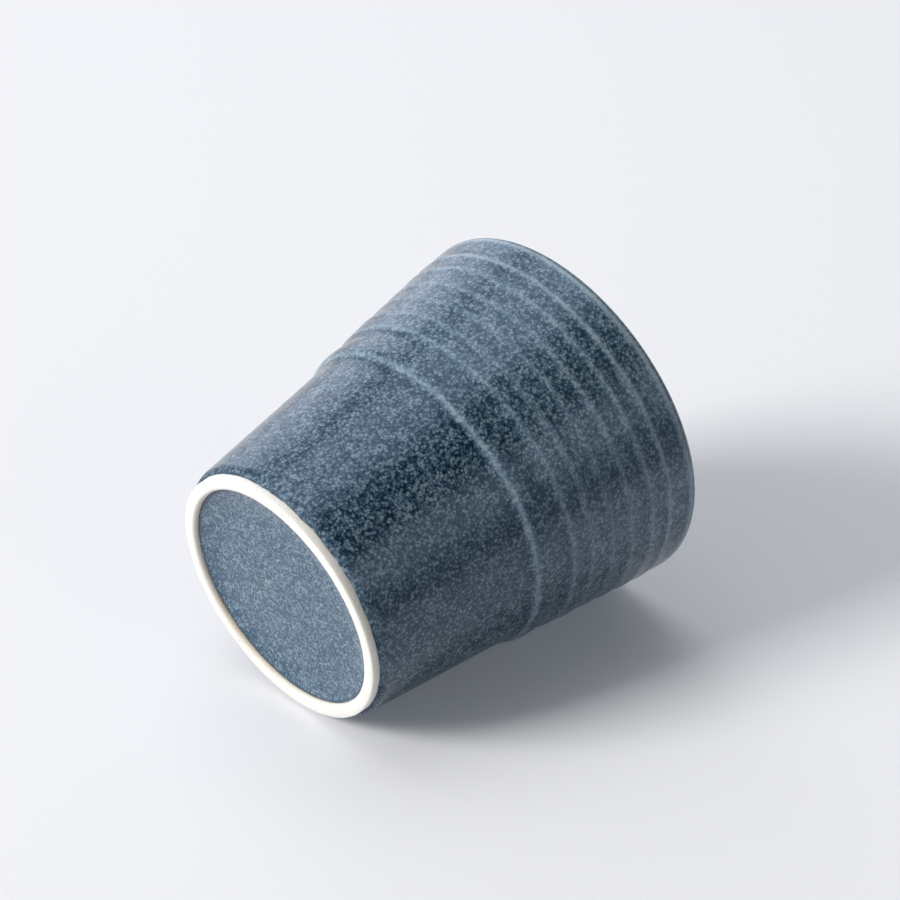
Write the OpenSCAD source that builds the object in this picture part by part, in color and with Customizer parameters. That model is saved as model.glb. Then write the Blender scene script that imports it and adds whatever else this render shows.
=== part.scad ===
// Yunomi: a handleless tea cup, thrown in pale stoneware and glazed inside and out.
// It stands on its foot ring on the plane z = 0, its axis is the Z axis, and lengths are in millimetres.

/* [Cup] */
// Height from the table to the crest of the lip
cup_h = 75.5; // [66:0.5:90]
// Outside diameter at the lip
rim_d = 76; // [70:0.5:86]
// Diameter of the lower wall, its straight line carried down to the table
foot_d = 54; // [50:0.5:58]
// Outward belly of the upper wall, at its middle
belly = 0.5; // [0:0.05:1.5]

/* [Ridge] */
// Height at which the lower wall ends, just under the ridge
ridge_z = 34.5; // [26:0.5:40]
// Diameter of the lower wall where it ends
ridge_d = 63; // [60:0.5:66]
// Height from there to where the ridge starts to stand out
ridge_gap = 1.2; // [0:0.1:3]
// How far the ridge stands out
ridge_relief = 0.7; // [0.2:0.05:1.5]
// Height over which the ridge rises to its edge
ridge_rise = 2.6; // [1.5:0.1:4]

/* [Throwing rings] */
// Number of throwing rings on the upper wall
ring_count = 6; // [3:1:8]
// How far a full throwing ring stands out
ring_relief = 0.2; // [0.05:0.01:0.5]
// Height from the end of the lower wall to the first throwing ring
ring_gap = 9.7; // [6:0.1:14]
// Height of the plain band between the last throwing ring and the lip
lip_band = 2.4; // [1:0.1:5]

/* [Wall] */
// Thickness of the wall where it meets the floor, glaze included
wall_t = 4.4; // [3:0.1:6]
// Thickness of the rounded lip, glaze included
lip_t = 3; // [2.2:0.1:4.5]
// Thickness of the clay floor
floor_t = 5.4; // [3:0.1:8]
// Radius of the hip, where the inside wall turns into the floor
hip_r = 10; // [4:0.5:16]

/* [Foot] */
// Height of the foot ring, from the table to the joint with the body
foot_h = 2.1; // [1.6:0.1:4]
// Width of the foot ring, from the line of the lower wall in to the glazed well
foot_w = 3.8; // [3.4:0.1:6]
// Width of the soft round at the edge of the well floor
well_round_w = 3; // [1:0.1:6]
// Width of the bevel on the inner edge of the foot ring
foot_bevel_w = 1.1; // [0.4:0.05:1.3]
// Height of that bevel, up to the edge of the glaze in the well
foot_bevel_h = 1.1; // [0.3:0.05:1.2]
// Size of the small bevel on its outer edge
foot_edge = 0.6; // [0.2:0.05:0.8]
// Tuck of the wall above the foot, its curve carried down to the table
tuck_w = 2.3; // [0.6:0.1:2.6]
// Height at which that curve starts
tuck_h = 3.5; // [2:0.1:5]

/* [Glaze] */
// Thickness of every glaze coat
glaze_t = 0.35; // [0.2:0.05:0.6]
// Height of the glaze line on the foot
glaze_line_z = 1.7; // [0.9:0.02:2]

/* [Hidden] */
$fn = 180;

rim_r = rim_d / 2;
foot_r = foot_d / 2;
ridge_r = ridge_d / 2;
well_r = foot_r - foot_w;
lip_r = lip_t / 2;

// Centre of the lip's round
lip_x = rim_r - lip_r;
lip_z = cup_h - lip_r;

// First throwing ring and the spacing of the rings up to the plain band under the lip
ring_z = ridge_z + ring_gap;
ring_pitch = (lip_z - lip_band - ring_z) / ring_count;
// Share of a ring's spacing in which it rises, before it falls away slowly
ring_rise_share = 0.27;
// Depth of each ring from the first up, as a share of a full one, uneven as a thrower's fingers leave them
ring_depth_shares = [1.6, 0.7, 0.5, 0.6, 0.8, 0.8];

// Height at which the ridge starts, and its whole height up to the first throwing ring
ridge_start = ridge_z + ridge_gap;
ridge_h = ring_gap - ridge_gap;

// Height of the inside floor, and how fast the wall thins from there to the lip
floor_z = foot_h + floor_t + glaze_t;
thinning = (wall_t - lip_t) / (lip_z - floor_z);

// Points on each round stretch of an outline
tuck_steps = 6;
ridge_steps = 8;
ring_steps = 10;
arc_steps = 12;

// Soft step from 0 to 1 as t goes from 0 to 1
function ease(t) = (1 - cos(180 * min(max(t, 0), 1))) / 2;

// Bump that rises in the first share of its length and falls over the rest
function bump(t, rise_share) = ease(t / rise_share) * (1 - ease((t - rise_share) / (1 - rise_share)));

// Plain wall: a cone up to the ridge, and from there to the lip a wider one with a slight belly
function lower_r(z) = foot_r + (ridge_r - foot_r) * z / ridge_z;
function upper_r(s) = ridge_r + (rim_r - ridge_r) * s + 4 * belly * s * (1 - s);
function plain_r(z) = z < ridge_z ? lower_r(z) : upper_r((z - ridge_z) / (lip_z - ridge_z));

// What stands in or out of the plain wall: the tuck down to the glaze line, the ridge and the throwing rings
function tuck(z) = tuck_w * pow(max(1 - max(z, glaze_line_z) / tuck_h, 0), 2);
function ridge_bump(z) = ridge_relief * bump((z - ridge_start) / ridge_h, ridge_rise / ridge_h);
function ring_depth(i) = ring_relief * ring_depth_shares[i % len(ring_depth_shares)];
function ring_bump(turn) = turn < 0 || turn >= ring_count
    ? 0
    : ring_depth(floor(turn)) * bump(turn - floor(turn), ring_rise_share);

// Outside radius of the glazed wall at height z, and the radius inside it
function wall_r(z) = plain_r(z) - tuck(z) + ridge_bump(z) + ring_bump((z - ring_z) / ring_pitch);
function inside_r(z) = plain_r(z) - lip_t - thinning * (lip_z - z);

// Heights at which the outside needs a point: glazed foot up to the joint, and the body
foot_zs = [for (i = [0 : tuck_steps - 1]) glaze_line_z + (foot_h - glaze_line_z) * i / tuck_steps];
tuck_zs = [for (i = [1 : tuck_steps]) if (tuck_h > foot_h) foot_h + (tuck_h - foot_h) * i / tuck_steps];
end_zs = [if (ridge_gap > 0) ridge_z];
rise_zs = [for (i = [0 : ridge_steps]) ridge_start + ridge_rise * i / ridge_steps];
fade_zs = [for (i = [1 : ridge_steps]) ridge_start + ridge_rise + (ridge_h - ridge_rise) * i / ridge_steps];
ring_zs = [for (i = [1 : ring_count * ring_steps]) ring_z + ring_pitch * i / ring_steps];
body_zs = concat([foot_h], tuck_zs, end_zs, rise_zs, fade_zs, ring_zs);

// Heights at which the inside wall needs a point, from under the lip down to the ridge
inside_zs = [for (i = [1 : arc_steps]) lip_z + (ridge_z - lip_z) * i / arc_steps];

// Points of an arc about (x, z), from angle a to angle b
function arc(x, z, r, a, b) = [
    for (i = [0 : arc_steps])
        let (turn = a + (b - a) * i / arc_steps)
        [x + r * cos(turn), z + r * sin(turn)]
];

// Outside face at the heights zs and over the lip to its crest, set into the wall by depth
function outside_face(zs, depth) = concat(
    [for (z = zs) [wall_r(z) - depth, z]],
    arc(lip_x, lip_z, lip_r - depth, 0, 90)
);

// Inside face from the crest of the lip to the middle of the floor, set into the wall by depth
function inside_face(depth) =
    let (lean = atan((inside_r(ridge_z) - inside_r(floor_z)) / (ridge_z - floor_z)))
    let (r = hip_r + depth)
    let (hip_z = floor_z + hip_r)
    let (hip_x = inside_r(hip_z) + depth - r / cos(lean))
    concat(
        arc(lip_x, lip_z, lip_r - depth, 90, 180),
        [for (z = inside_zs) [inside_r(z) + depth, z]],
        arc(hip_x, hip_z, r, -lean, -90),
        [[0, floor_z - depth]]
    );

function reversed(points) = [for (i = [len(points) - 1 : -1 : 0]) points[i]];

// Face of the glaze in the well, from its middle to its edge on the foot ring
function well_face() =
    let (top = foot_h - glaze_t)
    let (drop = top - foot_bevel_h)
    concat(
        [[0, top]],
        [
            for (i = [0 : arc_steps])
                let (turn = 90 - 90 * i / arc_steps)
                [well_r - well_round_w * (1 - cos(turn)), top - drop * (1 - sin(turn))]
        ]
    );

// Thrown clay cup: the wall from the foot joint up, the lip and the floor
module clay_body() {
    color("#ded6c4")
        rotate_extrude()
            polygon(concat([[0, foot_h]], outside_face(body_zs, glaze_t), inside_face(glaze_t)));
}

// Bare clay ring under the floor, bevelled on both edges
module foot_ring() {
    sole_edge = [wall_r(0) - glaze_t - foot_edge, 0];
    outer_side = [for (z = concat([foot_edge], foot_zs, [foot_h])) [wall_r(z) - glaze_t, z]];
    well_side = [
        [well_r + glaze_t, foot_h],
        [well_r + glaze_t, foot_bevel_h],
        [well_r + glaze_t + foot_bevel_w, 0]
    ];
    color("#f4eee0")
        rotate_extrude()
            polygon(concat([sole_edge], outer_side, well_side));
}

// Blue coat on the outside, from the glaze line to the crest of the lip
module outer_glaze() {
    zs = concat(foot_zs, body_zs);
    color("#435c74")
        rotate_extrude()
            polygon(concat(outside_face(zs, 0), reversed(outside_face(zs, glaze_t))));
}

// Blue coat on the inside, from the crest of the lip over the floor
module inner_glaze() {
    color("#4d677f")
        rotate_extrude()
            polygon(concat(inside_face(0), reversed(inside_face(glaze_t))));
}

// Paler coat in the well inside the foot ring, pooled in the corner
module well_glaze() {
    backing = [[well_r + glaze_t, foot_bevel_h], [well_r + glaze_t, foot_h], [0, foot_h]];
    color("#73879a")
        rotate_extrude()
            polygon(concat(well_face(), backing));
}

clay_body();
foot_ring();
outer_glaze();
inner_glaze();
well_glaze();
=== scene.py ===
# %% [markdown]
# # A handleless tea cup of glazed stoneware
# A yunomi is a tea cup without a handle. This one was thrown on a wheel, dipped in a blue crystal glaze and
# left bare on the ring that it stands on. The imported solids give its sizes. This lesson lays finer meshes
# over them, gives each its glaze or clay, and lights them in a white studio. Lengths are millimetres until
# they go into a Blender object, and Blender works in metres.

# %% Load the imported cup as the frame
import math

import bpy
import numpy as np
from mathutils import Matrix, Vector


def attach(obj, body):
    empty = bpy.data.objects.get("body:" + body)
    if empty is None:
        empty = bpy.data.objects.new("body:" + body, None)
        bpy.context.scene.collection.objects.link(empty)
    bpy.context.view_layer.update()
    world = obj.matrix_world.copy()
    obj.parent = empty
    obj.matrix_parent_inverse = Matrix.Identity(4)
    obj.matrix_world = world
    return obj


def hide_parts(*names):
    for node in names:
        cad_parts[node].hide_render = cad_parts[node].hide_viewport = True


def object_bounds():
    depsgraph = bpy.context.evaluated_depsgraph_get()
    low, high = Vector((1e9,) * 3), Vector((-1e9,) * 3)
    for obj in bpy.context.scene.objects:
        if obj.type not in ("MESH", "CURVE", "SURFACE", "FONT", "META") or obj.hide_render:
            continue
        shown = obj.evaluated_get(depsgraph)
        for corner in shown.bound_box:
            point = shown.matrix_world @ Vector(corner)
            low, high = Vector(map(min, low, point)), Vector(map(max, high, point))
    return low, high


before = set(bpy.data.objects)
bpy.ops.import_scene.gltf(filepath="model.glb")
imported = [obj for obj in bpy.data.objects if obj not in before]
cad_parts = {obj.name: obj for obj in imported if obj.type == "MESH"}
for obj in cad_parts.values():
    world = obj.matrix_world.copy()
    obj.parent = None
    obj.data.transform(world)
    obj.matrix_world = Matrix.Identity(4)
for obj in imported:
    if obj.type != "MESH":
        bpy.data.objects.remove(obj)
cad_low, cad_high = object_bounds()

MM = 0.001
print("solids:", sorted(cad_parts))
print("box of the solids, mm:", [round(v / MM, 2) for v in (*cad_low, *cad_high)])

# %% [markdown]
# ## The wall's outline
# A thrown cup is round, so one outline holds nearly all of its shape: a plain cone up to the ridge, a wider
# and slightly bellied cone from there to the lip, and on them the marks of the potter's fingers. The solids
# were turned from the same formulas. They are repeated here with finer steps, because a formula can be bent
# a little at every angle, which a copied mesh can't.

# %% Sizes of the cup, as the solids have them
cup_h = cad_high.z / MM
rim_r = cad_high.x / MM
foot_r = 27.0
ridge_z = 34.5
ridge_r = 31.5
belly = 0.5
wall_t = 4.4
lip_t = 3.0
foot_h = 2.1
floor_t = 5.4
hip_r = 10.0
glaze_t = 0.35
glaze_line_z = 1.7
tuck_w = 2.3
tuck_h = 3.5

lip_r = lip_t / 2
lip_x = rim_r - lip_r
lip_z = cup_h - lip_r
floor_z = foot_h + floor_t + glaze_t
thinning = (wall_t - lip_t) / (lip_z - floor_z)
print(f"cup {cup_h:.1f} mm high and {2 * rim_r:.1f} mm across, inside floor at {floor_z:.2f} mm")


# %% Plain wall, outside and inside
def ease(t):
    """Soft step from 0 to 1 as t goes from 0 to 1."""
    return (1 - np.cos(np.pi * np.clip(t, 0, 1))) / 2


def bump(t, rise_share):
    """Swelling that rises in the first share of its length and falls over the rest."""
    return ease(t / rise_share) * (1 - ease((t - rise_share) / (1 - rise_share)))


def plain_r(z):
    """Radius of the wall without finger marks."""
    s = (z - ridge_z) / (lip_z - ridge_z)
    tuck = tuck_w * np.clip(1 - np.maximum(z, glaze_line_z) / tuck_h, 0, 1) ** 2
    lower = foot_r + (ridge_r - foot_r) * z / ridge_z - tuck
    upper = ridge_r + (rim_r - ridge_r) * s + 4 * belly * s * (1 - s)
    return np.where(z < ridge_z, lower, upper)


def inside_r(z):
    """Radius of the inside wall, which thins towards the lip."""
    return plain_r(z) - lip_t - thinning * (lip_z - z)


print("wall at the ridge and under the lip, mm:", float(plain_r(ridge_z)), float(plain_r(lip_z)))

# %% [markdown]
# ## Marks of the hand
# A rib held against the spinning wall left the ridge, and fingers left six shallow rings above it. A hand
# is never quite even: each ring wanders up and down and is deeper here than there. The unevenness could be
# noise at every point, but a wheel smooths along the turn, so a few slow waves round the cup are truer.

# %% Finger rings and the ridge
TURNS = 360
turns = np.linspace(0, 2 * np.pi, TURNS, endpoint=False)

ridge_relief = 0.7
ridge_rise = 2.6
ridge_gap = 1.2
ring_gap = 9.7
ring_rise_share = 0.27
lip_band = 2.4
ring_depths = [0.32, 0.14, 0.1, 0.12, 0.16, 0.16]
ring_rises = [2.6, 1.2, 1.2, 1.2, 1.2, 1.2]
ring_falls = [9, 2.4, 2.4, 2.4, 2.4, 2.4]
ring_lifts = [0, -0.3, 0, 0, 0.3, 0]
ring_wander = 0.14
ring_unevenness = 0.3
ridge_wander = 0.1
out_of_round = 0.08

ring_z = ridge_z + ring_gap
ring_pitch = (lip_z - lip_band - ring_z) / len(ring_depths)


def hand(seed, slowest, fastest):
    """Unevenness of a hand, from -1 to 1, for each step of one turn."""
    draw = np.random.default_rng(seed)
    total = np.zeros(TURNS)
    for wave in range(slowest, fastest + 1):
        total += draw.normal() * np.cos(wave * turns + draw.uniform(0, 2 * np.pi))
    return total / np.abs(total).max()


ridge_sway = ridge_wander * hand(3, 1, 9)
rings = []
for number, (depth, lift) in enumerate(zip(ring_depths, ring_lifts)):
    crest = ring_z + ring_pitch * (number + ring_rise_share) + lift + ring_wander * hand(10 + number, 2, 14)
    depth = depth * (1 + ring_unevenness * hand(30 + number, 3, 24))
    rings.append((crest, depth))
lip_sway = out_of_round * hand(50, 2, 4)


def thrown(z):
    """How far the wall of a hand-thrown cup leaves the plain one, at each height and angle."""
    ridge_h = ring_gap - ridge_gap
    out = ridge_relief * bump((z - ridge_z - ridge_gap - ridge_sway) / ridge_h, ridge_rise / ridge_h)
    for (crest, depth), up, down in zip(rings, ring_rises, ring_falls):
        out = out + depth * bump((z - crest + up) / (up + down), up / (up + down))
    return out + lip_sway * z / cup_h


print("crests of the rings, mm:", [round(float(crest.mean()), 1) for crest, depth in rings])

# %% [markdown]
# ## Turning an outline into a mesh
# Blender's Screw modifier turns an outline too, but it turns the same one at every angle. This helper takes
# a radius and a height for each row and each angle, so the hand's unevenness stays in the mesh. It also
# keeps named marks on the points, such as where the glaze is pale, for the finish to read later, and it
# rolls the surface out flat as a map, so that its finish can be baked sharply.


# %% Turn rows of points into a closed piece
def turned(name, r, z, marks, meets_axis):
    """Closed mesh from rows of radii and heights, listed anticlockwise round the cut face of the piece."""
    rows = len(r)
    x, y = r * np.cos(turns), r * np.sin(turns)
    points = np.stack([x, y, np.broadcast_to(z, r.shape)], axis=-1).reshape(-1, 3) * MM
    mean_r, mean_z = r.mean(axis=1), np.broadcast_to(z, r.shape).mean(axis=1)
    steps = np.hypot(np.diff(mean_r, append=mean_r[0]), np.diff(mean_z, append=mean_z[0]))
    along = np.concatenate([[0], np.cumsum(steps)]) / steps.sum()
    lower = np.arange(rows - 1 if meets_axis else rows)
    quads, quad_map = [], []
    for i in lower:
        for j in range(TURNS):
            k, n = (j + 1) % TURNS, (i + 1) % rows
            quads.append((i * TURNS + j, i * TURNS + k, n * TURNS + k, n * TURNS + j))
            u, v = (j / TURNS, (j + 1) / TURNS), (along[i], along[i + 1])
            quad_map += [(u[0], v[0]), (u[1], v[0]), (u[1], v[1]), (u[0], v[1])]
    if meets_axis:
        points = np.concatenate([points, [(0, 0, mean_z[0] * MM), (0, 0, mean_z[-1] * MM)]])
        first, last = rows * TURNS, rows * TURNS + 1
        for j in range(TURNS):
            k, mid = (j + 1) % TURNS, (j + 0.5) / TURNS
            quads.append((first, k, j))
            quad_map += [(mid, 0), ((j + 1) / TURNS, along[0]), (j / TURNS, along[0])]
            quads.append((last, (rows - 1) * TURNS + j, (rows - 1) * TURNS + k))
            quad_map += [(mid, 1), (j / TURNS, along[rows - 1]), ((j + 1) / TURNS, along[rows - 1])]
    mesh = bpy.data.meshes.new(name)
    mesh.from_pydata(points.tolist(), [], quads)
    for mark, values in marks.items():
        values = np.broadcast_to(values, r.shape).reshape(-1)
        values = np.concatenate([values, np.zeros(len(points) - len(values))])
        mesh.attributes.new(mark, "FLOAT", "POINT").data.foreach_set("value", values.astype(np.float32))
    rolled_out = mesh.uv_layers.new(name="OFBake")
    rolled_out.data.foreach_set("uv", np.array(quad_map, np.float32).reshape(-1))
    mesh.shade_smooth()
    piece = bpy.data.objects.new(name, mesh)
    bpy.context.scene.collection.objects.link(piece)
    volume = np.pi * np.sum((mean_r**2 + np.roll(mean_r, -1) ** 2) / 2 * (np.roll(mean_z, -1) - mean_z))
    print(f"{name}: {rows} rows, {len(quads)} faces, {volume:.0f} mm3")
    return piece


# %% [markdown]
# ## Outer glaze
# The glaze is a skin of glass about a third of a millimetre thick. It runs off sharp edges as it melts, so
# the crest of the ridge, the top of each ring and the lip show a pale line, and it gathers in the creases
# below them, where it looks nearly black. On the ridge and the rings the pale line is also a painted
# highlight, standing for the light that their rising faces catch. At the foot it ends in a small round bead.
# One mark says where the glaze is pale, and "pool" says where it gathers. Curvature could be measured from
# the mesh, but the rings are known here.

# %% Rows of the outer glaze, from the foot to the crest of the lip
bead_h = 0.3
bead_rows = 7
above_bead_z = 2.2
plain_step = 0.6
ridge_step = 0.3
ring_step = 0.28
short_of_lip = 0.1
lip_rows = 14
hidden_rows = 34
slow_wave_h = 0.09
quick_wave_h = 0.05
wave_fades_over = 3

wall_zs = np.concatenate([
    glaze_line_z + bead_h * (1 - np.cos(np.linspace(0, np.pi / 2, bead_rows))),
    np.arange(above_bead_z, ridge_z, plain_step),
    np.arange(ridge_z, ring_z, ridge_step),
    np.arange(ring_z, lip_z - short_of_lip, ring_step),
])[:, None]
glaze_wave = slow_wave_h * hand(60, 3, 30) + quick_wave_h * hand(61, 30, 80)
bead = np.clip((wall_zs - glaze_line_z) / bead_h, 0, 1)
bead_loss = glaze_t * (1 - np.sqrt(1 - (1 - bead) ** 2))
outside_z = wall_zs + glaze_wave * np.clip(1 - (wall_zs - glaze_line_z) / wave_fades_over, 0, 1)
outside_r = plain_r(outside_z) + thrown(outside_z) - bead_loss

lip_turn = np.linspace(0, np.pi / 2, lip_rows)[:, None]
lip_out_r = lip_x + lip_r * np.cos(lip_turn) + lip_sway * lip_z / cup_h
lip_out_z = np.broadcast_to(lip_z + lip_r * np.sin(lip_turn), lip_out_r.shape)

hidden_zs = np.linspace(lip_z, glaze_line_z, hidden_rows)[:, None]
hidden_r = plain_r(hidden_zs) - glaze_t + thrown(hidden_zs)
hidden_z = np.broadcast_to(hidden_zs, hidden_r.shape)
under_lip_r = lip_x + (lip_r - glaze_t) * np.cos(lip_turn[::-1]) + lip_sway * lip_z / cup_h
under_lip_z = np.broadcast_to(lip_z + (lip_r - glaze_t) * np.sin(lip_turn[::-1]), under_lip_r.shape)

outer_r = np.concatenate([outside_r, lip_out_r, under_lip_r, hidden_r[1:]])
outer_z = np.concatenate([outside_z, lip_out_z, under_lip_z, hidden_z[1:]])
print("outer glaze rows:", len(outer_r), "tallest point, mm:", round(float(outer_z.max()), 2))


# %% Where the outer glaze runs thin, where it carries a painted highlight, and where it gathers
def line(z, at, width):
    """Soft line round the wall at a height."""
    return np.exp(-(((z - at) / width) ** 2))


upper_paleness = 0.12
upper_fades_over = 12
ridge_line, ridge_line_w, ridge_line_lift = 0.68, 0.65, 0.05
ridge_pool, ridge_pool_w, ridge_pool_share = 0.4, 0.8, 0.4
ring_lines = [0.55, 0.4, 0.36, 0.47, 0.53, 0.71]
ring_line_w = 0.6
ring_line_even, ring_line_uneven = 0.85, 0.15
crease_share, crease_drop, crease_w = 0.5, 1.5, 0.6
lip_line, lip_line_w, lip_line_drop = 0.7, 0.75, 0.25
lip_edge_lift, lip_edge_h = 0.55, 0.5
dry_h = 1.6

thin_and_highlight = upper_paleness * ease((outer_z - ridge_z - ridge_rise) / upper_fades_over)
ridge_edge_z = ridge_z + ridge_rise + ridge_line_lift + ridge_sway
# painted highlight: the ridge's pale line is partly thin glaze and partly a painted highlight of its lit
# rising face
thin_and_highlight = thin_and_highlight + ridge_line * line(outer_z, ridge_edge_z, ridge_line_w)
pool = ridge_pool * line(outer_z, ridge_z + ridge_pool_share * ridge_rise + ridge_sway, ridge_pool_w)
for number, (strength, (crest, depth)) in enumerate(zip(ring_lines, rings)):
    strength = strength * (ring_line_even + ring_line_uneven * hand(90 + number, 2, 30))
    # painted highlight: each ring's pale line is partly thin glaze and partly a painted highlight
    thin_and_highlight = thin_and_highlight + strength * line(outer_z, crest, ring_line_w)
    pool = pool + crease_share * strength * line(outer_z, crest - crease_drop, crease_w)
thin_and_highlight = thin_and_highlight + lip_line * line(outer_z, lip_z - lip_line_drop, lip_line_w)
lip_edge = np.clip((outer_z - lip_z - lip_edge_lift) / lip_edge_h, 0, 1)
dry = np.clip(1 - (outer_z - glaze_line_z) / dry_h, 0, 1)

outer_coat = turned(
    "outer_glaze_coat",
    outer_r,
    outer_z,
    {"thin_and_highlight": thin_and_highlight, "pool": pool, "lip_edge": lip_edge, "dry": dry},
    meets_axis=False,
)
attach(outer_coat, "root")
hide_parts("outer_glaze")

# %% [markdown]
# ## Inner glaze
# The same glaze was poured into the cup and out again. It lines the wall from the crest of the lip, turns
# softly into the floor, and is a little deeper there, where the last of it settled. Its outline ends on the
# axis, so its mesh closes at a point above and below.

# %% Rows of the inner glaze, from the crest of the lip to the middle of the floor
inner_lip_rows, inner_wall_rows, hip_rows, floor_rows = 12, 76, 22, 16
last_floor_share = 0.04
settled_h = 6
inner_line, inner_line_w, inner_line_drop = 0.8, 0.6, 0.3

inner_turn = np.linspace(np.pi / 2, np.pi, inner_lip_rows)[:, None]
inner_zs = np.linspace(lip_z, floor_z + hip_r, inner_wall_rows)[1:-1, None]
lean = math.atan((inside_r(ridge_z) - inside_r(floor_z)) / (ridge_z - floor_z))
hip_turn = np.linspace(-lean, -np.pi / 2, hip_rows)[:, None]
floor_shares = np.linspace(1, last_floor_share, floor_rows)[1:, None]


def inside_face(depth):
    """Rows of the inside face, set into the wall by a depth."""
    r_hip = hip_r + depth
    hip_x = inside_r(floor_z + hip_r) + depth - r_hip / math.cos(lean)
    sway = lip_sway / cup_h
    rows_z = [
        lip_z + (lip_r - depth) * np.sin(inner_turn),
        inner_zs,
        floor_z + hip_r + r_hip * np.sin(hip_turn),
        np.full_like(floor_shares, floor_z - depth),
    ]
    rows_r = [
        lip_x + (lip_r - depth) * np.cos(inner_turn),
        inside_r(inner_zs) + depth,
        hip_x + r_hip * np.cos(hip_turn),
        hip_x * floor_shares,
    ]
    z = np.concatenate(rows_z)
    return np.concatenate(rows_r) + sway * np.clip(z - floor_z, 0, None), z


face_r, face_z = inside_face(0)
back_r, back_z = inside_face(glaze_t)
inner_r = np.concatenate([back_r[::-1], face_r])
inner_z = np.concatenate([back_z[::-1], face_z])
inner_pool = np.clip(1 - (inner_z - floor_z) / settled_h, 0, 1)
inner_thin = inner_line * line(inner_z, lip_z - inner_line_drop, inner_line_w)
inner_edge = np.clip((inner_z - lip_z - lip_edge_lift) / lip_edge_h, 0, 1)
inner_coat = turned(
    "inner_glaze_coat",
    inner_r,
    inner_z,
    {"thin_and_highlight": inner_thin, "pool": inner_pool, "lip_edge": inner_edge},
    meets_axis=True,
)
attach(inner_coat, "root")
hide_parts("inner_glaze")

# %% [markdown]
# ## Glaze in the well
# Inside the foot ring the floor of the cup is glazed as well. The well was trimmed shallow, like a saucer,
# and its floor curves to the edge of the ring. A flat disc would be simpler, but the slight dish and the
# faint turning marks keep its shine from looking like one flat plate.

# %% Rows of the well's glaze
foot_w = 3.8
foot_bevel_w = 1.1
foot_bevel_h = 1.1
dish_w = 6.0
dish_curve = 2.0
dish_sink = 0.25
trim_pitch = 2.6
trim_relief = 0.012
innermost_r = 0.7
rows_a_part = 26
well_pool_w = 0.5

well_r = foot_r - foot_w
well_top = foot_h - glaze_t
flat_part = np.linspace(innermost_r, well_r - dish_w, rows_a_part)
dished_part = np.linspace(well_r - dish_w, well_r, rows_a_part)[1:]
well_face_r = np.concatenate([flat_part, dished_part])
rise = np.clip((well_face_r - well_r + dish_w) / dish_w, 0, 1) ** dish_curve
trim_rings = trim_relief * np.sin(well_face_r * 2 * np.pi / trim_pitch) * (1 - rise)
well_floor = well_top + dish_sink
well_face_z = well_floor - (well_floor - foot_bevel_h) * rise + trim_rings
backing_r = np.array([well_r + glaze_t, well_r + glaze_t, well_r, well_r / 2, 1.0])
backing_z = np.array([foot_bevel_h, foot_h, foot_h, foot_h, foot_h])

round_trip = np.ones(TURNS)
well_rows_r = np.concatenate([well_face_r, backing_r])[:, None] * round_trip
well_rows_z = np.concatenate([well_face_z, backing_z])[:, None] * round_trip
well_pool = np.clip(1 - (well_r - well_rows_r) / well_pool_w, 0, 1) * (well_rows_r <= well_r)
well_coat = turned("well_glaze_coat", well_rows_r, well_rows_z, {"pool": well_pool}, meets_axis=True)
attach(well_coat, "root")
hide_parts("well_glaze")

# %% [markdown]
# ## Bare foot ring
# The ring that the cup stands on was wiped clean of glaze, so that it wouldn't stick to the kiln shelf. A
# wet sponge rounded its edges, the inner one most, and left the sole flat and slightly flared. The solid has
# the same ring with straight bevels, and this mesh rounds them. One mark gives the ring's inner side a warm
# tone, partly where the clay toasted in the kiln and partly painted shade of the recess, and "beside_glaze"
# says where the clay darkened next to the glaze line.

# %% Rows of the foot ring
outer_round_w = 0.3
outer_round_h = 0.3
inner_round_w = 0.65
sole_flare = 0.25
toast_and_shade_w = 0.5 * foot_bevel_w
toast_and_shade_even, toast_and_shade_uneven = 0.7, 0.3
stained_w = 0.16
outer_side_w = 1.6

sponge = np.linspace(0, np.pi / 2, 10)
side_z = np.linspace(foot_h, outer_round_h, 8)
side_r = plain_r(side_z) - glaze_t + sole_flare * np.clip(1 - side_z / glaze_line_z, 0, 1)
inner_r0 = well_r + glaze_t
outer_round_r = side_r[-1] - outer_round_w * (1 - np.cos(sponge[1:]))
outer_round_z = outer_round_h * (1 - np.sin(sponge[1:]))
sole_r = np.linspace(outer_round_r[-1], inner_r0 + inner_round_w, 6)[1:-1]
inner_round_r = inner_r0 + inner_round_w * (1 - np.sin(sponge))
inner_round_z = foot_bevel_h * (1 - np.cos(sponge))
ring_rows_r = np.concatenate([side_r, outer_round_r, sole_r, inner_round_r, [inner_r0]])
ring_rows_z = np.concatenate([side_z, outer_round_z, 0 * sole_r, inner_round_z, [foot_h]])
ring_rows_r = ring_rows_r[::-1, None] * round_trip
ring_rows_z = ring_rows_z[::-1, None] * round_trip

# painted shade: warm tone on the ring's inner side, partly kiln toasting and partly the shade of the recess
toast_and_shade = np.clip(1 - (ring_rows_r - inner_r0) / toast_and_shade_w, 0, 1)
toast_and_shade = toast_and_shade * (toast_and_shade_even + toast_and_shade_uneven * hand(81, 1, 5))
beside_glaze = line(ring_rows_z, glaze_line_z, stained_w) * (ring_rows_r > foot_r - outer_side_w)
foot = turned(
    "bare_foot_ring",
    ring_rows_r,
    ring_rows_z,
    {"toast_and_shade": toast_and_shade, "beside_glaze": beside_glaze},
    meets_axis=False,
)
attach(foot, "root")
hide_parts("foot_ring")

# %% [markdown]
# ## Helpers for the finishes
# Colours are written as sRGB hex values, as a paint card gives them, and Blender's shaders want linear
# light, so one function turns them. One more adds a node, sets it and links what feeds it.


# %% Colour and node helpers
def linear(hex_colour):
    """Linear RGBA of an sRGB hex colour."""
    parts = [int(hex_colour[i : i + 2], 16) / 255 for i in (1, 3, 5)]
    return (*[p / 12.92 if p <= 0.04045 else ((p + 0.055) / 1.055) ** 2.4 for p in parts], 1)


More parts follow.
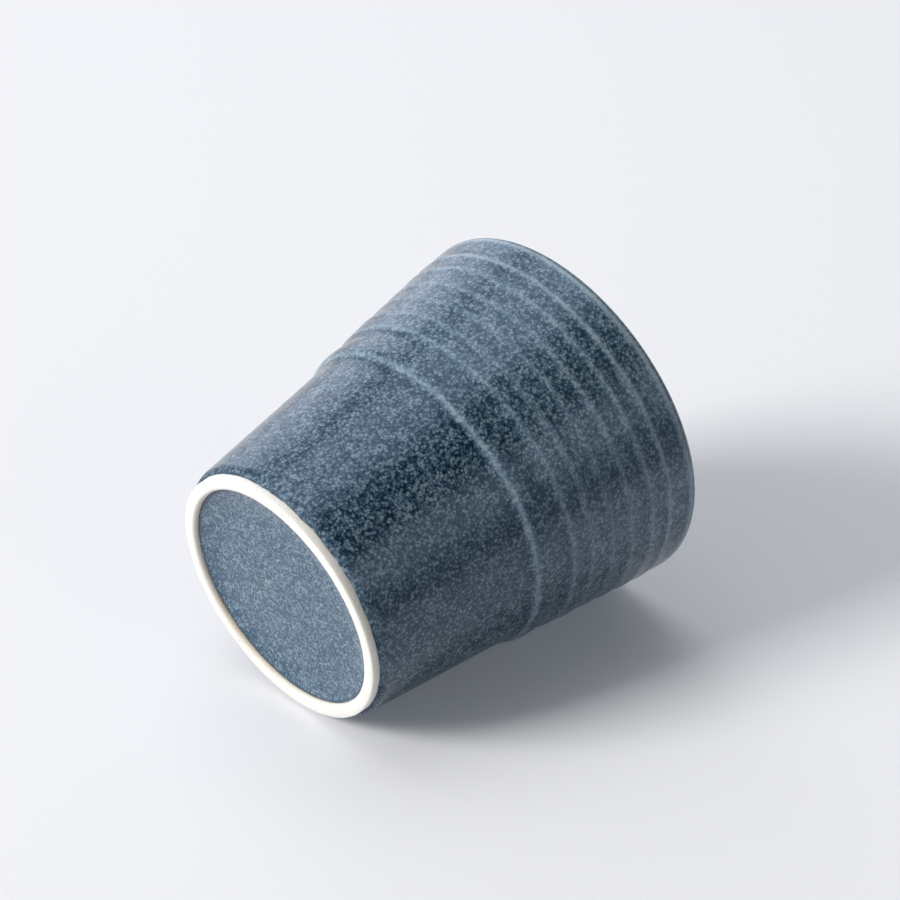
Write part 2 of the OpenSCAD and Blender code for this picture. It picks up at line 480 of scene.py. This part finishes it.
def add(tree, kind, feeds, stops=(), **settings):
    """Adds one node. Feeds are plain values or the sockets that feed it, stops the colours of a ramp."""
    made = tree.nodes.new("ShaderNode" + kind)
    for name, value in settings.items():
        setattr(made, name, value)
    for name, value in feeds.items():
        if isinstance(value, bpy.types.NodeSocket):
            tree.links.new(value, made.inputs[name])
        else:
            made.inputs[name].default_value = value
    for number, (at, colour) in enumerate(stops):
        stop = made.color_ramp.elements[number] if number < 2 else made.color_ramp.elements.new(at)
        stop.position, stop.color = at, linear(colour)
    return made


def finish_named(name):
    """New material with an empty node tree and its output, and the tree's object coordinates in mm."""
    material = bpy.data.materials.new(name)
    material.use_nodes = True
    tree = material.node_tree
    tree.nodes.clear()
    place = add(tree, "TexCoord", {}).outputs["Object"]
    in_mm = add(tree, "VectorMath", {0: place, "Scale": 1 / MM}, operation="SCALE").outputs["Vector"]
    return material, tree, in_mm


# A Mix node has sockets for numbers, vectors and colours; these are the places of its colour sockets
MIX_A, MIX_B, MIXED = 6, 7, 2


def mixed(tree, share, colour, other):
    """Socket of a colour that goes over to another by a share."""
    return add(tree, "Mix", {0: share, MIX_A: colour, MIX_B: other}, data_type="RGBA").outputs[MIXED]


print("a mid grey card in linear light:", [round(c, 3) for c in linear("#777777")])

# %% [markdown]
# ## Blue crystal glaze
# As the glaze cools, pale crystals about half a millimetre wide grow in a deep blue glass until they nearly
# touch. The eye sees light flecks with a dark net between them, in soft clouds of a few millimetres, under
# a satin shine. Noise alone would give worm-like islands, but crystals grow from scattered points, so bent
# cells round such points are mixed in, each with its own strength. Thin glaze grows more of them, a pool
# fewer. Looking straight down, such milky glass mirrors more blue than red, which the specular tint gives.


# %% Crystals in the glass
bend_share = 0.6
grain_flecks = 1.7
bare_level, full_level = 0.26, 0.74


def crystals(tree, in_mm, fleck_mm, clump_mm, cover, pool):
    """How far the glass has turned to crystal at each point, from 0 to 1."""
    drift = add(tree, "TexNoise", {"Vector": in_mm, "Scale": 1 / fleck_mm, "Detail": 1.0}).outputs["Color"]
    bend = (bend_share * fleck_mm,) * 3
    bent = add(tree, "VectorMath", {0: drift, 1: bend, 2: in_mm}, operation="MULTIPLY_ADD").outputs["Vector"]
    seeds = add(tree, "TexVoronoi", {"Vector": bent, "Scale": 1 / fleck_mm})
    own = add(tree, "SeparateColor", {"Color": seeds.outputs["Color"]}).outputs["Red"]
    grain = add(
        tree,
        "TexNoise",
        {"Vector": in_mm, "Scale": 1 / (grain_flecks * fleck_mm), "Detail": 3.0, "Roughness": 0.62},
    ).outputs["Fac"]
    cloud = add(tree, "TexNoise", {"Vector": in_mm, "Scale": 1 / clump_mm, "Detail": 2.0}).outputs["Fac"]
    level = cover
    for part, weight in (
        (seeds.outputs["Distance"], -0.6),
        (own, 0.25),
        (grain, 0.95),
        (cloud, 0.4),
        (pool, -0.25),
    ):
        level = add(tree, "Math", {0: part, 1: weight, 2: level}, operation="MULTIPLY_ADD").outputs[0]
    grown = add(tree, "MapRange", {"Value": level, "From Min": bare_level, "From Max": full_level})
    return grown.outputs["Result"]


# %% Satin blue crystal glaze on the wall
fleck_strength = 0.7
thin_loses_flecks = -0.75
thin_and_highlight_paleness = 0.92
lip_wear = 0.7


def blue_crystal_glaze(name, fleck_mm, clump_mm, cover, ior, stops):
    """Glaze of deep blue glass with pale crystals, paler where it is thin and where a highlight is painted,
    and brown on the lip's edge.
    """
    material, tree, in_mm = finish_named(name)
    thin_and_highlight, pool, lip_edge, dry = (
        add(tree, "Attribute", {}, attribute_name=mark).outputs["Fac"]
        for mark in ("thin_and_highlight", "pool", "lip_edge", "dry")
    )
    grown = crystals(tree, in_mm, fleck_mm, clump_mm, cover, pool)
    fading = {0: thin_and_highlight, 1: thin_loses_flecks, 2: fleck_strength}
    depth = add(tree, "Math", fading, operation="MULTIPLY_ADD").outputs[0]
    flecks = add(tree, "Math", {0: grown, 1: depth}, operation="MULTIPLY").outputs[0]
    # paler where the glaze is thin, and along the ridge and rings also as a painted highlight
    paling = {0: thin_and_highlight, 1: thin_and_highlight_paleness, 2: flecks}
    shade = add(tree, "Math", paling, operation="MULTIPLY_ADD", use_clamp=True).outputs[0]
    colour = add(tree, "ValToRGB", {"Fac": shade}, stops).outputs["Color"]
    worn = add(tree, "Math", {0: lip_edge, 1: lip_wear}, operation="MULTIPLY").outputs[0]
    colour = mixed(tree, worn, colour, linear("#77736C"))
    gloss = add(tree, "MapRange", {"Value": dry, "To Min": 0.23, "To Max": 0.7}).outputs["Result"]
    skin = add(tree, "MapRange", {"Value": dry, "To Min": 0.12, "To Max": 0.0}).outputs["Result"]
    relief = add(tree, "Bump", {"Height": grown, "Strength": 0.12, "Distance": 0.03 * MM}).outputs["Normal"]
    shader = add(
        tree,
        "BsdfPrincipled",
        {
            "Base Color": colour,
            "Roughness": gloss,
            "IOR": ior,
            "Specular Tint": linear("#C8DFFF"),
            "Coat Weight": skin,
            "Coat Roughness": 0.08,
            "Normal": relief,
        },
    )
    add(tree, "OutputMaterial", {"Surface": shader.outputs["BSDF"]})
    return material


wall_stops = [(0.0, "#0A2132"), (1.0, "#AAB9C2"), (0.3, "#364B5C"), (0.6, "#5F7484")]
outer_finish = blue_crystal_glaze(
    "satin_blue_crystal_glaze", fleck_mm=0.56, clump_mm=3.0, cover=0.0, ior=1.62, stops=wall_stops
)
inner_finish = blue_crystal_glaze(
    "satin_blue_crystal_glaze_inside", fleck_mm=0.6, clump_mm=3.5, cover=0.0, ior=1.62, stops=wall_stops
)
well_stops = [(0.0, "#354E63"), (1.0, "#BCC9D3"), (0.15, "#50677A"), (0.45, "#748B9D")]
well_finish = blue_crystal_glaze(
    "pale_blue_crystal_glaze", fleck_mm=0.42, clump_mm=2.4, cover=-0.12, ior=1.5, stops=well_stops
)
outer_coat.data.materials.append(outer_finish)
inner_coat.data.materials.append(inner_finish)
well_coat.data.materials.append(well_finish)

# %% [markdown]
# ## Bare and biscuit stoneware
# Fine pale stoneware, fired without glaze, is dense and matt like an eggshell. The foot ring is sponged
# smooth: cream, warmer on its inner side, partly toasted and partly painted shade, with a few brown pinholes
# of iron. The body under the glaze is the same clay, never seen, and gets a plain grog grain, so that it is
# finished if someone cuts the cup open.


# %% Sponged cream stoneware and the clay body
grain_mm = 0.5
cloud_mm = 5.0
pinholes_apart_mm = 3.2
stain_strength = 0.15


def bare_stoneware(name, cream, toasted, brown):
    """Unglazed pale clay with fine grain, a warm tone that is partly toasting and partly painted shade, and
    a few pinholes.
    """
    material, tree, in_mm = finish_named(name)
    grain = add(tree, "TexNoise", {"Vector": in_mm, "Scale": 1 / grain_mm, "Detail": 4.0}).outputs["Fac"]
    colour = add(tree, "ValToRGB", {"Fac": grain}, [(0.25, toasted), (0.55, cream)]).outputs["Color"]
    # painted shade: the warm tone on the ring's inner side is partly toasting and partly the shade of the
    # recess
    toast_and_shade = add(tree, "Attribute", {}, attribute_name="toast_and_shade").outputs["Fac"]
    soft = add(tree, "TexNoise", {"Vector": in_mm, "Scale": 1 / cloud_mm, "Detail": 2.0}).outputs["Fac"]
    toast_and_shade_share = add(tree, "Math", {0: toast_and_shade, 1: soft}, operation="MULTIPLY", use_clamp=True).outputs[0]
    colour = mixed(tree, toast_and_shade_share, colour, linear("#EBD3B5"))
    edge = add(tree, "Attribute", {}, attribute_name="beside_glaze").outputs["Fac"]
    halo = add(tree, "Math", {0: edge, 1: stain_strength}, operation="MULTIPLY", use_clamp=True).outputs[0]
    colour = mixed(tree, halo, colour, linear("#A08A72"))
    spots = add(tree, "TexVoronoi", {"Vector": in_mm, "Scale": 1 / pinholes_apart_mm})
    hole = add(
        tree, "MapRange", {"Value": spots.outputs["Distance"], "From Min": 0.075, "From Max": 0.035}
    ).outputs["Result"]
    colour = mixed(tree, hole, colour, linear(brown))
    relief = add(tree, "Bump", {"Height": grain, "Strength": 0.3, "Distance": 0.05 * MM}).outputs["Normal"]
    shader = add(
        tree,
        "BsdfPrincipled",
        {
            "Base Color": colour,
            "Roughness": 0.62,
            "IOR": 1.5,
            "Subsurface Weight": 0.8,
            "Subsurface Radius": (1.0, 0.95, 0.85),
            "Subsurface Scale": 1.6 * MM,
            "Normal": relief,
        },
    )
    add(tree, "OutputMaterial", {"Surface": shader.outputs["BSDF"]})
    return material


foot.data.materials.append(bare_stoneware("sponged_cream_stoneware", "#F7F5F0", "#F0EBE2", "#7A5A40"))
body_finish = bare_stoneware("biscuit_stoneware", "#DDD3C0", "#C9BDA6", "#8A6A50")
clay_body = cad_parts["clay_body"]
clay_body.data.materials.clear()
clay_body.data.materials.append(body_finish)
print("finishes:", [m.name for m in bpy.data.materials if m.users])

# %% [markdown]
# ## How the cup lies
# The picture shows the cup on its side, foot to the left, but the part stands upright in its own frame and
# may not be turned. So the studio is tipped instead: floor, lamps and camera are placed as the photographer
# had them, with right, away and up for axes, and one matrix carries them all to the upright cup. The lean
# isn't guessed: lying down, a cup rests on two heights of its wall, one on each side of where it balances.
# It stays a hair above the paper, so that no crest of an uneven ring goes through it.

# %% Work out the lean and the matrix from the studio to the cup
balance_z = 0.48 * cup_h
heading = math.radians(43.6)
resting_turn = math.radians(135)
contact_gap = 0.03

outline_z = outside_z.mean(axis=1)
outline_r = outside_r.mean(axis=1)
below = outline_z < balance_z
wider = outline_r[~below][None] - outline_r[below][:, None]
higher = outline_z[~below][None] - outline_z[below][:, None]
tilt = math.atan((wider / higher).max(axis=1).min())
reach_down = outside_r * np.cos(turns - resting_turn) * math.cos(tilt) - outside_z * math.sin(tilt)
axis_height = float(reach_down.max()) + contact_gap

axis = Vector((math.cos(tilt) * math.cos(heading), math.cos(tilt) * math.sin(heading), math.sin(tilt)))
resting_side = (Vector((0, 0, -1)) + axis * axis.z).normalized()
other_side = axis.cross(resting_side)
half = math.sqrt(0.5)
cup_x = -half * (resting_side + other_side)
cup_y = half * (resting_side - other_side)
lying = Matrix((cup_x, cup_y, axis)).transposed().to_4x4()
studio_to_cup = (Matrix.Translation((0, 0, axis_height * MM)) @ lying).inverted()
print(f"the cup leans {math.degrees(tilt):.2f} degrees, its foot centre is {axis_height:.2f} mm up")

# %% [markdown]
# ## Camera
# The camera stands a little to the right of the foot and looks down on the cup with a long lens, which keeps
# the mouth's round and the foot's round nearly alike.

# %% Set up the camera
camera_at = Vector((32.56, -475.66, axis_height + 329.27)) * MM
looks_down = math.radians(31.9)

camera_data = bpy.data.cameras.new("camera")
camera_data.lens = 122.96
camera_data.sensor_width = 36
camera = bpy.data.objects.new("camera", camera_data)
bpy.context.scene.collection.objects.link(camera)
camera.matrix_world = studio_to_cup @ (
    Matrix.Translation(camera_at) @ Matrix.Rotation(math.radians(90) - looks_down, 4, "X")
)
bpy.context.scene.camera = camera
print("camera in the cup's frame, mm:", [round(v / MM) for v in camera.matrix_world.translation])

# %% [markdown]
# ## Floor
# The floor is white paper. Seen from behind it isn't there, so that the cup can be looked at from every
# side. A second, level sheet lies under the upright cup for those other sides. Only the camera sees it. It
# glows evenly by itself, and a painted shadow darkens it where the cup is near, because no lamp stands over
# it.


# %% Lay the white paper
paper_glow = 0.07
near_cup = 0.03


def seen_directly(tree):
    """1 for what the camera sees, itself or in a mirroring or clear surface, and 0 for light on its way."""
    ray = add(tree, "LightPath", {}).outputs
    straight_or_mirrored = {0: ray["Is Camera Ray"], 1: ray["Is Glossy Ray"]}
    seen = add(tree, "Math", straight_or_mirrored, operation="MAXIMUM").outputs[0]
    return add(tree, "Math", {0: seen, 1: ray["Is Transmission Ray"]}, operation="MAXIMUM").outputs[0]


def sheet(name, corners, to_cup, shader_kind, colour, bounced=None):
    """Large one-sided sheet of paper in the studio around the cup."""
    mesh = bpy.data.meshes.new(name)
    mesh.from_pydata([to_cup @ Vector(c) for c in corners], [], [(0, 1, 2, 3)])
    paper = bpy.data.objects.new(name, mesh)
    bpy.context.scene.collection.objects.link(paper)
    material, tree, in_mm = finish_named(name + "_paper")
    if shader_kind == "Emission":
        # painted shadow: the level sheet glows, and an occlusion test darkens its glow near the cup
        shade = add(tree, "AmbientOcclusion", {"Color": colour, "Distance": near_cup}, samples=8)
        front = add(tree, "Emission", {"Color": shade.outputs["Color"]}).outputs[0]
    else:
        if bounced:
            seen = seen_directly(tree)
            colour = mixed(tree, seen, bounced, colour)
        front = add(tree, "BsdfDiffuse", {"Color": colour}).outputs[0]
        if bounced:
            to_eye = add(tree, "LightPath", {}).outputs["Is Camera Ray"]
            lift = add(tree, "Math", {0: to_eye, 1: paper_glow}, operation="MULTIPLY").outputs[0]
            glow = add(tree, "Emission", {"Color": linear("#EAF2FF"), "Strength": lift}).outputs[0]
            front = add(tree, "AddShader", {0: front, 1: glow}).outputs[0]
    turned_away = add(tree, "NewGeometry", {}).outputs["Backfacing"]
    clear = add(tree, "BsdfTransparent", {}).outputs[0]
    both = add(tree, "MixShader", {0: turned_away, 1: front, 2: clear}).outputs[0]
    add(tree, "OutputMaterial", {"Surface": both})
    mesh.materials.append(material)
    return paper


reach = 1.6
square = [(-reach, -reach, 0), (reach, -reach, 0), (reach, reach, 0), (-reach, reach, 0)]
floor = sheet("studio_floor", square, studio_to_cup, "BsdfDiffuse", linear("#EDEEF2"), linear("#BCBEC4"))
floor.visible_shadow = False
level_gap = -0.05 * MM
level = sheet("level_floor", square, Matrix.Translation((0, 0, level_gap)), "Emission", linear("#F1F2F5"))
for ray in ("diffuse", "glossy", "transmission", "shadow"):
    setattr(level, "visible_" + ray, False)

# %% [markdown]
# ## Light
# A softbox low on the left throws the long shadow, a wide one overhead gives the wall its pale sheen, and
# weaker ones behind, at the front right and under the floor soften the rest. The room is white, brighter
# towards its window on the far left and darker opposite. A black flag to the right keeps one stripe of the
# wall dark, as a glazed pot needs to show its depth, and at the right, outside the picture, the paper ends
# on a grey table. A lamp's brightness is given as the radiance of its white face, where 1 is a white wall,
# and its power follows from its area: 4 watts a square metre for a radiance of 1.


# %% Place the lamps, the flag and the room
cup_middle = Vector((0.026, 0.025, 0.033))
watts_a_square_metre = 4
table_top = 0.001


def softbox(name, at, width, height, radiance, colour):
    """Area lamp at a place in the studio, in metres, that faces the cup."""
    lamp = bpy.data.lights.new(name, "AREA")
    lamp.shape = "RECTANGLE"
    lamp.size, lamp.size_y = width, height
    lamp.energy = radiance * watts_a_square_metre * width * height
    lamp.color = linear(colour)[:3]
    holder = bpy.data.objects.new(name, lamp)
    bpy.context.scene.collection.objects.link(holder)
    at = Vector(at)
    turn = (cup_middle - at).to_track_quat("-Z", "Y").to_matrix().to_4x4()
    holder.matrix_world = studio_to_cup @ Matrix.Translation(at) @ turn
    print(f"{name}: {lamp.energy:.1f} W")


def towards(azimuth, elevation, distance):
    """Place in the studio by compass, counted from the right towards away, and height in degrees."""
    a, e = math.radians(azimuth), math.radians(elevation)
    level_way = distance * math.cos(e)
    return (level_way * math.cos(a), level_way * math.sin(a), distance * math.sin(e))


softbox("low_left_softbox", towards(200, 31, 4.0), 1.5, 1.4, 17.6, "#FFFBF5")
softbox("overhead_softbox", (-0.12, 0.26, 1.0), 0.8, 0.7, 0.86, "#F8F8FF")
softbox("back_softbox", towards(113, 22, 1.5), 0.6, 1.0, 0.8, "#EEEFFF")
softbox("front_right_softbox", towards(-44, 25, 1.3), 1.0, 0.55, 0.54, "#FBFAE8")
softbox("behind_floor_softbox", (0.1, 0.1, -0.9), 0.9, 0.9, 0.5, "#F3F8FF")

flag_at = Vector(towards(-35, 58, 1.0))
flag_faces = -flag_at.normalized()
flag_along = (axis - flag_faces * axis.dot(flag_faces)).normalized()
flag_across = flag_faces.cross(flag_along)
flag_span = ((-0.95, -0.34), (0.45, -0.34), (0.45, 0.3), (-0.95, 0.3))
flag_corners = [flag_at + flag_along * s + flag_across * t for s, t in flag_span]
sheet("black_flag", flag_corners, studio_to_cup, "BsdfDiffuse", linear("#060606"))

table_turn = Matrix.Rotation(math.radians(-35), 4, "Z")
table_corners = [(x, y, table_top) for x, y in ((0.2, -0.6), (1.4, -0.6), (1.4, 0.6), (0.2, 0.6))]
sheet("bare_table", table_corners, studio_to_cup @ table_turn, "BsdfDiffuse", linear("#A6A8AC"))

room = bpy.data.worlds.new("white_room")
room.use_nodes = True
bpy.context.scene.world = room
room_tree = room.node_tree
room_tree.nodes.clear()
ray = add(room_tree, "LightPath", {}).outputs
window_side = studio_to_cup.to_3x3() @ Vector(towards(145, 0, 1))
looks = add(room_tree, "TexCoord", {}).outputs["Generated"]
facing = add(room_tree, "VectorMath", {0: looks, 1: window_side}, operation="DOT_PRODUCT").outputs["Value"]


def walls(colour, level, window_share):
    """White walls of a level, brighter towards the window by a share of it and as much darker opposite."""
    slope = level * window_share
    strength = add(room_tree, "Math", {0: facing, 1: slope, 2: level}, operation="MULTIPLY_ADD").outputs[0]
    return add(room_tree, "Background", {"Color": linear(colour), "Strength": strength}).outputs[0]


in_a_mirror = walls("#EAF6FF", 0.6, 0.25)
fill = walls("#F8FBFF", 0.385, 0.8)
white = add(room_tree, "Background", {"Color": linear("#F4F6FA"), "Strength": 1.0}).outputs[0]
lit = add(room_tree, "MixShader", {0: ray["Is Glossy Ray"], 1: fill, 2: in_a_mirror}).outputs[0]
lit = add(room_tree, "MixShader", {0: ray["Is Camera Ray"], 1: lit, 2: white}).outputs[0]
add(room_tree, "OutputWorld", {"Surface": lit})

bpy.context.scene.view_settings.view_transform = "Standard"
